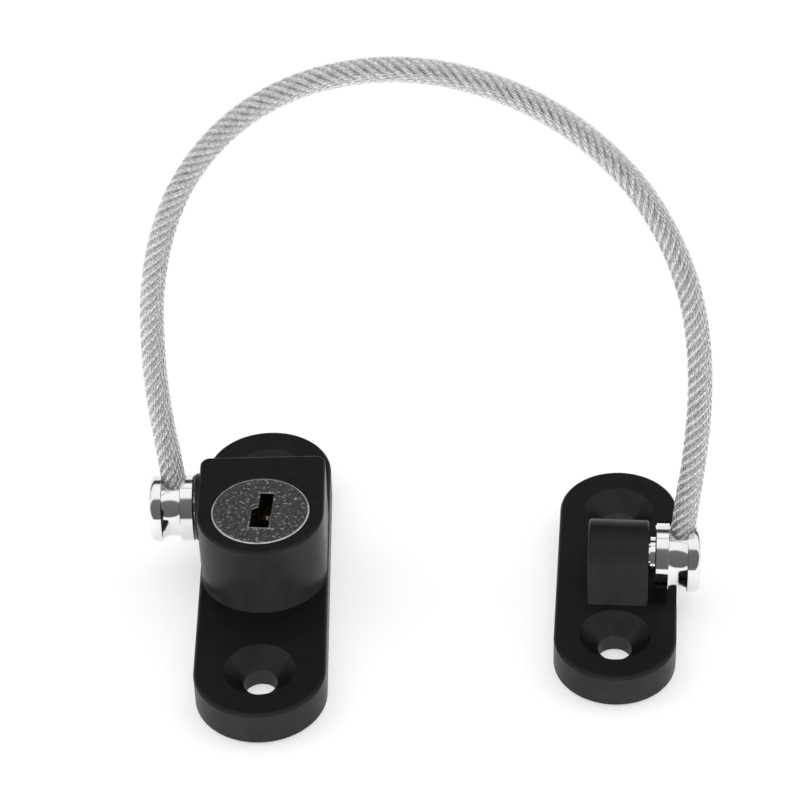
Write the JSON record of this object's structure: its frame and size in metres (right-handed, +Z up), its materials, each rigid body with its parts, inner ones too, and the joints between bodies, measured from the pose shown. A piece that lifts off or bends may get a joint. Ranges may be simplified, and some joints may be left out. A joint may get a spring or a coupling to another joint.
{
  "type": "window restrictor cable",
  "caption": "Key-locked window restrictor: a lock body and an anchor body, joined by a clear-sheathed wire rope held in turning chrome spools.",
  "frame": {"origin": "on the underside of the lock body, below the axis of its key plug", "axes": "+X from the lock body towards the anchor body, +Y along the lock body towards its cable pin, +Z up out of the mounting surface"},
  "size_m": [0.1015, 0.077, 0.0994],
  "materials": {
    "black_coat": "satin",
    "zinc": "rough cast",
    "steel": "drawn",
    "brass": "satin",
    "chrome_plate": "polished",
    "clear_pvc": "clear gloss"
  },
  "bodies": {
    "lock": {"lock_body": "black_coat", "cover_plate": "zinc", "cover_screw_1": "steel", "cover_screw_2": "steel", "detent_ball": "steel", "detent_spring": "steel"},
    "plug": {"key_plug": "zinc", "wafer_1": "brass", "wafer_2": "brass", "wafer_3": "brass", "wafer_4": "brass", "wafer_5": "brass", "plug_clip": "steel"},
    "pin_catch": {"stem_ring": "steel"},
    "cable": {"lock_pin": "chrome_plate", "ferrule_lock_end": "brass", "wire_rope": "steel", "cable_sheath": "clear_pvc", "ferrule_anchor_end": "brass", "anchor_pin": "chrome_plate"},
    "anchor": {"anchor_body": "black_coat", "anchor_washer": "zinc", "anchor_clip": "steel"}
  },
  "joints": [
    {"name": "key_turn", "type": "hinge", "parent": "lock", "child": "plug", "pos_m": [0, 0, 0.0206], "axis": [0, 0, 1], "range_deg": [0, 90]},
    {"name": "pin_pull", "type": "slide", "parent": "lock", "child": "pin_catch", "axis": [-1, 0, 0], "range_m": [0, 0.022]},
    {"name": "cable_swing", "type": "hinge", "parent": "pin_catch", "child": "cable", "pos_m": [-0.0167, 0.0089, 0.014], "axis": [1, 0, 0], "range_deg": [-100, 95]},
    {"name": "anchor_swing", "type": "hinge", "parent": "cable", "child": "anchor", "pos_m": [0.0643, -0.00265, 0.01025], "axis": [0.9968, -0.0797, 0], "range_deg": [-70, 70]}
  ]
}
